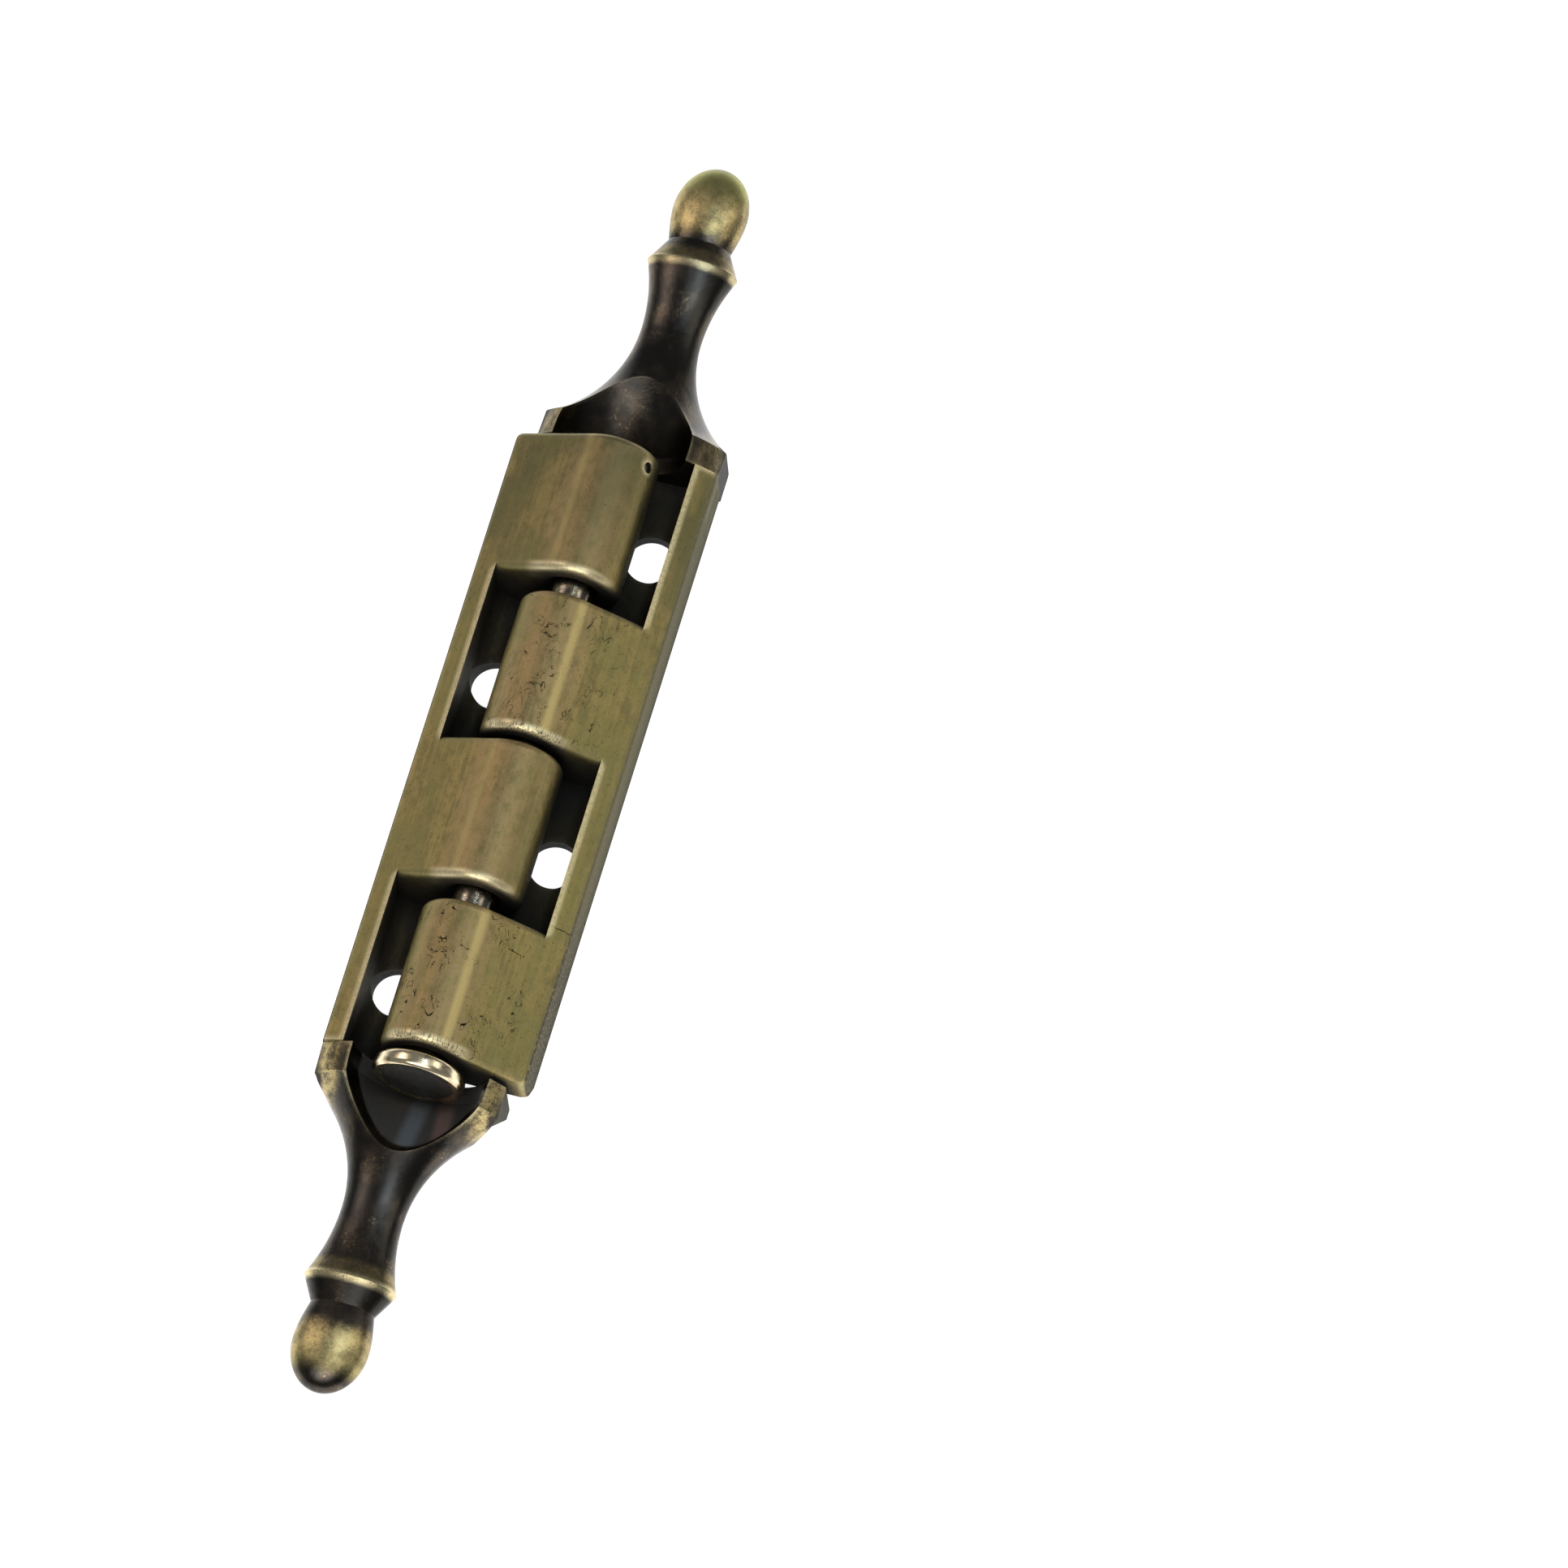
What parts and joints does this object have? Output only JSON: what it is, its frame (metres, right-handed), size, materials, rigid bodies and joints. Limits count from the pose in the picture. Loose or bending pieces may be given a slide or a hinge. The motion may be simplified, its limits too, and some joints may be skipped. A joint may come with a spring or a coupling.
{
  "type": "door hinge",
  "caption": "Surface-mounted antique brass hinge with interleaved knuckles, a mushroom-headed pin, pocketed screw holes and a turned finial at each end.",
  "frame": {"origin": "centre of the mounting face, right below the pin axis and midway along it; the hinge lies on its back with both leaves flat", "axes": "+Z out of the mounting face to the front; +Y along the pin, towards the top finial; +X across, towards the right leaf"},
  "size_m": [0.018, 0.12, 0.0101],
  "materials": {
    "antique_brass": "brushed lengthwise, antiqued olive gold, worn bright on the edges",
    "dark_bronze": "glossy dark bronze patina, worn to olive gold on the ball, collar and shoulder edges",
    "polished_brass": "polished, pale gold",
    "steel": "plain drawn wire"
  },
  "bodies": {
    "left_half": {"left_leaf": "antique_brass", "bottom_finial": "dark_bronze", "bottom_finial_back_dowel": "steel", "bottom_finial_front_dowel": "steel", "hinge_pin": "polished_brass", "lock_pin": "steel"},
    "right_half": {"right_leaf": "antique_brass", "top_finial": "dark_bronze", "top_finial_back_dowel": "steel", "top_finial_front_dowel": "steel"}
  },
  "joints": [
    {"name": "swing", "type": "hinge", "parent": "left_half", "child": "right_half", "pos_m": [0, 0, 0.006], "axis": [0, -1, 0], "range_deg": [0, 162]}
  ]
}
